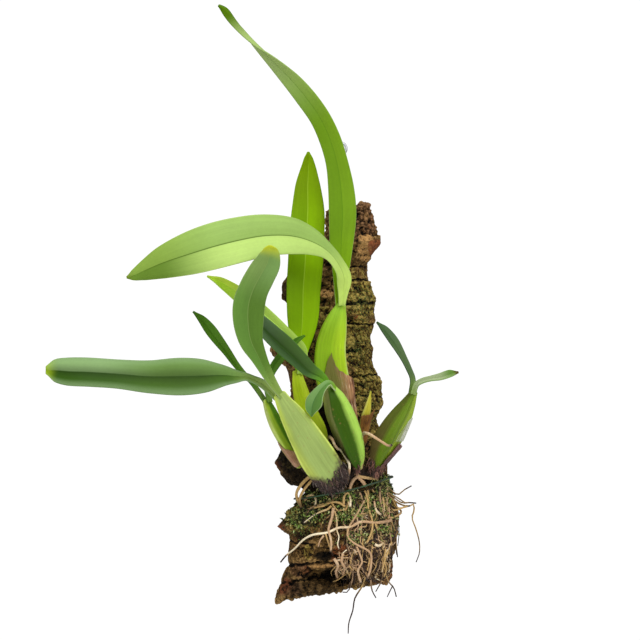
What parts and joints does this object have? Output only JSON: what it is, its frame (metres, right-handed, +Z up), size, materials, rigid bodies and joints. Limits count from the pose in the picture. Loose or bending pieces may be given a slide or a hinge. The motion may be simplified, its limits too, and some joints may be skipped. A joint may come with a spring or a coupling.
{
  "type": "bark mounted orchid",
  "caption": "Bulbophyllum orchid with paired strap leaves on angular pseudobulbs, grown on a hanging bark slab with a wire hanger and a mat of roots.",
  "frame": {"origin": "inside top of the hanger's wire eye, where a hook or nail carries it", "axes": "+Z up, +X to the right as seen from the front, -Y to the viewer, +Y into the wall"},
  "size_m": [0.3077, 0.1169, 0.4718],
  "materials": {
    "bark": "rough weathered bark, mossy",
    "hanger": "dull galvanised wire",
    "tie": "dark green coated wire, satin",
    "rhizome": "rough, fibrous",
    "bulb_pale": "waxy, satin",
    "bulb_dark": "waxy, satin",
    "bulb_bright": "waxy, satin",
    "bulb_lime": "waxy, satin",
    "bulb_olive": "waxy, satin",
    "bulb_yellow": "waxy, satin",
    "leaf_grey": "leathery, satin",
    "leaf_green": "leathery, satin",
    "leaf_deep": "leathery, satin",
    "leaf_blue": "leathery, satin",
    "leaf_pale": "leathery, satin",
    "leaf_lime": "leathery, satin",
    "leaf_fresh": "leathery, satin",
    "sheath_brown": "papery, matte",
    "sheath_pale": "papery, matte",
    "shoot": "waxy, satin",
    "bract": "papery, matte",
    "root": "matte, fibrous",
    "root_pale": "matte, spongy",
    "root_tan": "matte, fibrous"
  },
  "bodies": {
    "root": {"bark_slab": "bark", "hanger_wire": "hanger", "tie_wire": "tie", "rhizome": "rhizome", "pseudobulb_1": "bulb_pale", "leaf_1a": "leaf_grey", "leaf_1b": "leaf_green", "pseudobulb_2": "bulb_dark", "leaf_2a": "leaf_deep", "leaf_2b": "leaf_deep", "pseudobulb_3": "bulb_bright", "leaf_3a": "leaf_blue", "leaf_3b": "leaf_grey", "pseudobulb_4": "bulb_lime", "leaf_4a": "leaf_green", "leaf_4b": "leaf_pale", "pseudobulb_5": "bulb_olive", "leaf_5a": "leaf_grey", "leaf_5b": "leaf_pale", "pseudobulb_6": "bulb_yellow", "leaf_6a": "leaf_lime", "leaf_6b": "leaf_fresh", "sheath_lime": "sheath_brown", "sheath_dark": "sheath_brown", "sheath_olive": "sheath_brown", "sheath_olive_pale": "sheath_pale", "root_left": "root", "root_middle": "root_tan", "root_pale": "root_pale", "root_tan": "root_tan", "new_shoot": "shoot", "shoot_bract": "bract", "root_net": "root"}
  },
  "joints": []
}
